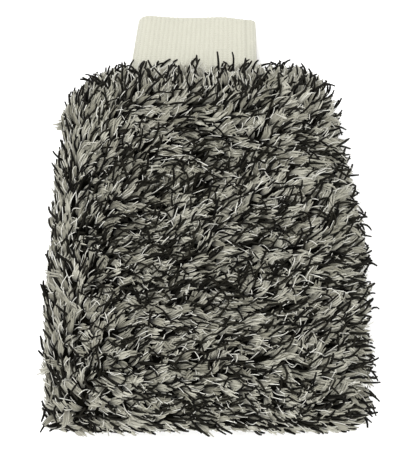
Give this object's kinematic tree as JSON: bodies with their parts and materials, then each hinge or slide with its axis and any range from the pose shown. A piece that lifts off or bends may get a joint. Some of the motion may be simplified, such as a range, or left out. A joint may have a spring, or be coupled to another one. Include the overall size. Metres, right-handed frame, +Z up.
{
  "type": "wash mitt",
  "caption": "Deep-pile microfibre wash mitt with a rounded flat body, soft inner lining and a ribbed knit cuff at the wrist, lying flat.",
  "frame": {"origin": "middle of the footprint, on the surface that the mitt lies on", "axes": "+Y from the finger end to the cuff, +Z up through the thickness, +X across the mitt, to the right seen from above with the cuff away"},
  "size_m": [0.2284, 0.3, 0.064],
  "materials": {
    "pile": "matte",
    "backing_knit": "matte",
    "foam": "matte",
    "lining": "matte",
    "dark_thread": "matte",
    "cuff_rib": "matte",
    "cream_thread": "matte"
  },
  "bodies": {
    "mitt": {"front_pile": "pile", "rear_pile": "pile", "front_backing": "backing_knit", "rear_backing": "backing_knit", "front_foam": "foam", "rear_foam": "foam", "front_lining": "lining", "rear_lining": "lining", "shell_seam": "dark_thread", "lining_seam": "dark_thread", "neck_seam": "dark_thread", "fingertip_tacks": "dark_thread"},
    "cuff": {"cuff": "cuff_rib", "cuff_side_seam": "cream_thread"}
  },
  "joints": [
    {"name": "cuff_bend", "type": "hinge", "parent": "mitt", "child": "cuff", "pos_m": [-0.008, 0.105, 0.01919], "axis": [1, 0, 0], "range_deg": [-30, 90]}
  ]
}
